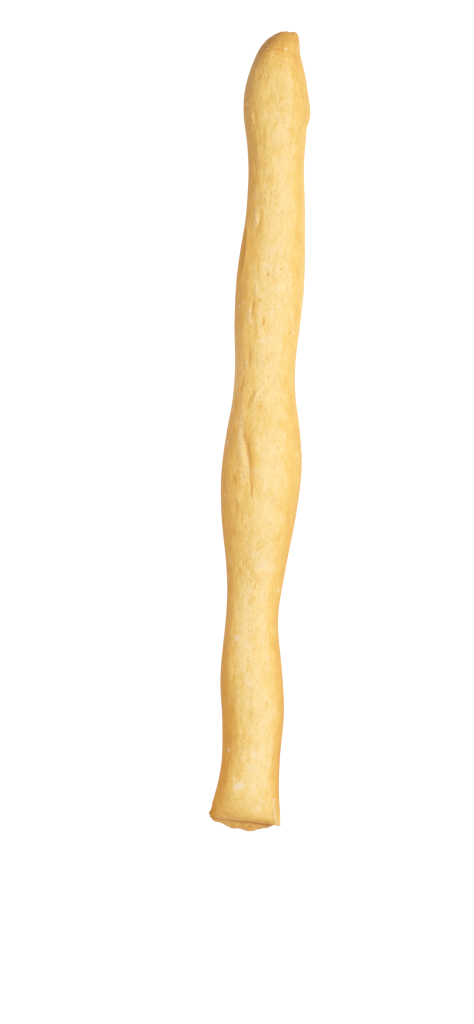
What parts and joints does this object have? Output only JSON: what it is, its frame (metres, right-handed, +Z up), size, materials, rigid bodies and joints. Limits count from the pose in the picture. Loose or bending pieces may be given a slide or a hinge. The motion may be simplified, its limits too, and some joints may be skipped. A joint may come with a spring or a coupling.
{
  "type": "grissini breadstick",
  "caption": "Hand-rolled breadstick with a pinched, beaked knob at one end, gentle swells and folds along its crust, and a chopped end.",
  "frame": {"origin": "centre of the bounding box's base, on the surface that the stick lies on", "axes": "+Y along the stick towards its pinched knob, +Z up from the flat underside to the crown, +X to the right of that"},
  "size_m": [0.015, 0.15, 0.013],
  "materials": {
    "crust": "dry, smooth, semi-matte baked crust"
  },
  "bodies": {
    "root": {"breadstick": "crust"}
  },
  "joints": []
}
